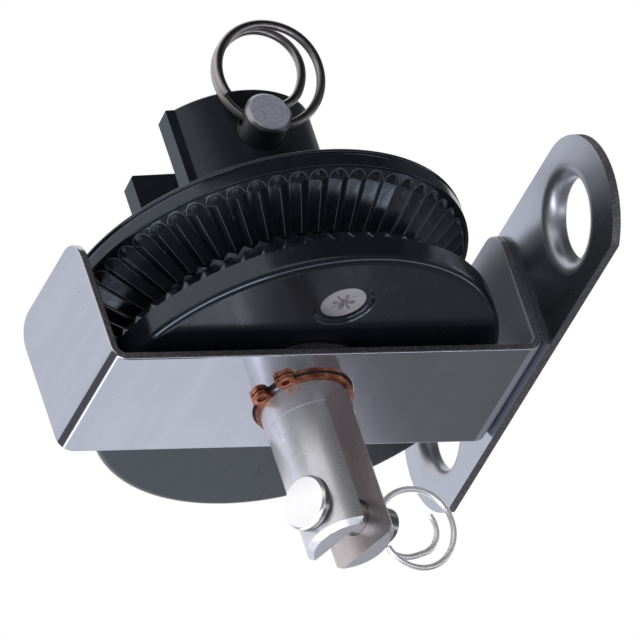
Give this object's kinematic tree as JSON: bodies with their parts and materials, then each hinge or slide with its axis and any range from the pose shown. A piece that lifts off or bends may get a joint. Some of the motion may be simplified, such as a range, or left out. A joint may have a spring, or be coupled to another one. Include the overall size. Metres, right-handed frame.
{
  "type": "furling drum",
  "caption": "Continuous-line furling drum: ribbed V-groove sheave on ball bearings in a folded stainless cage with a line lead plate, forks at both ends.",
  "frame": {"origin": "middle of the tack clevis pin, on the drum axis", "axes": "+Z along the drum axis to the head fork, +X to the line lead plate, +Y along the plate to its round end"},
  "size_m": [0.1088, 0.1166, 0.1207],
  "materials": {
    "stem_steel": "satin turned stainless",
    "clip_bronze": "copper coloured spring bronze",
    "cage_steel": "polished stainless sheet with bare cut edges",
    "plate_steel": "polished stainless sheet, burnished line holes",
    "bush_plastic": "black bearing plastic",
    "race_steel": "ground",
    "ball_steel": "polished",
    "retainer_plastic": "natural nylon",
    "seal_rubber": "smooth",
    "spacer_steel": "turned",
    "cheek_plastic": "glossy black",
    "screw_steel": "satin stainless",
    "fork_black": "black anodised, satin",
    "pin_steel": "turned stainless, worn",
    "tack_ring_wire": "bright drawn wire",
    "head_ring_wire": "dull drawn wire"
  },
  "bodies": {
    "stem": {"stem": "stem_steel", "circlip": "clip_bronze", "lower_bearing_inner_race": "race_steel", "upper_bearing_inner_race": "race_steel", "inner_spacer": "spacer_steel", "race_washer": "spacer_steel"},
    "cage": {"cage": "cage_steel", "lead_plate": "plate_steel", "cage_bush": "bush_plastic"},
    "drum": {"lower_cheek": "cheek_plastic", "upper_cheek": "cheek_plastic", "cheek_screws": "screw_steel", "fork": "fork_black", "lower_bearing_outer_race": "race_steel", "upper_bearing_outer_race": "race_steel", "outer_spacer": "spacer_steel", "lower_bearing_seals": "seal_rubber", "upper_bearing_seals": "seal_rubber"},
    "lower_ball_train": {"lower_bearing_balls": "ball_steel", "lower_bearing_ball_cage": "retainer_plastic"},
    "upper_ball_train": {"upper_bearing_balls": "ball_steel", "upper_bearing_ball_cage": "retainer_plastic"},
    "tack_pin": {"tack_pin": "pin_steel"},
    "tack_ring": {"tack_ring": "tack_ring_wire"},
    "head_pin": {"head_pin": "pin_steel"},
    "head_ring": {"head_ring": "head_ring_wire"}
  },
  "joints": [
    {"name": "cage_swivel", "type": "hinge", "parent": "stem", "child": "cage", "pos_m": [0, 0, 0.0298], "axis": [0, 0, 1], "continuous": true},
    {"name": "drum_spin", "type": "hinge", "parent": "stem", "child": "drum", "pos_m": [0, 0, 0.05], "axis": [0, 0, 1], "continuous": true},
    {"name": "lower_train_spin", "type": "hinge", "parent": "stem", "child": "lower_ball_train", "pos_m": [0, 0, 0.04175], "axis": [0, 0, 1], "continuous": true},
    {"name": "upper_train_spin", "type": "hinge", "parent": "stem", "child": "upper_ball_train", "pos_m": [0, 0, 0.0579], "axis": [0, 0, 1], "continuous": true},
    {"name": "tack_pin_turn", "type": "hinge", "parent": "stem", "child": "tack_pin", "pos_m": [0, 0, 0], "axis": [0.9205, 0.3907, 0], "continuous": true},
    {"name": "tack_ring_swing", "type": "hinge", "parent": "tack_pin", "child": "tack_ring", "pos_m": [0.01123, 0.00477, 0], "axis": [0.1336, -0.3148, 0.9397], "range_deg": [-60, 95]},
    {"name": "head_pin_turn", "type": "hinge", "parent": "drum", "child": "head_pin", "pos_m": [0, 0, 0.087], "axis": [-0.0506, -0.9987, 0], "range_deg": [-70, 95]},
    {"name": "head_ring_swing", "type": "hinge", "parent": "head_pin", "child": "head_ring", "pos_m": [-0.00121, -0.02397, 0.087], "axis": [-0.9514, 0.0482, 0.304], "range_deg": [-110, 8]}
  ],
  "couplings": [
    {"joint": "lower_train_spin", "follows": "drum_spin", "ratio": 0.6024},
    {"joint": "upper_train_spin", "follows": "drum_spin", "ratio": 0.6024}
  ]
}
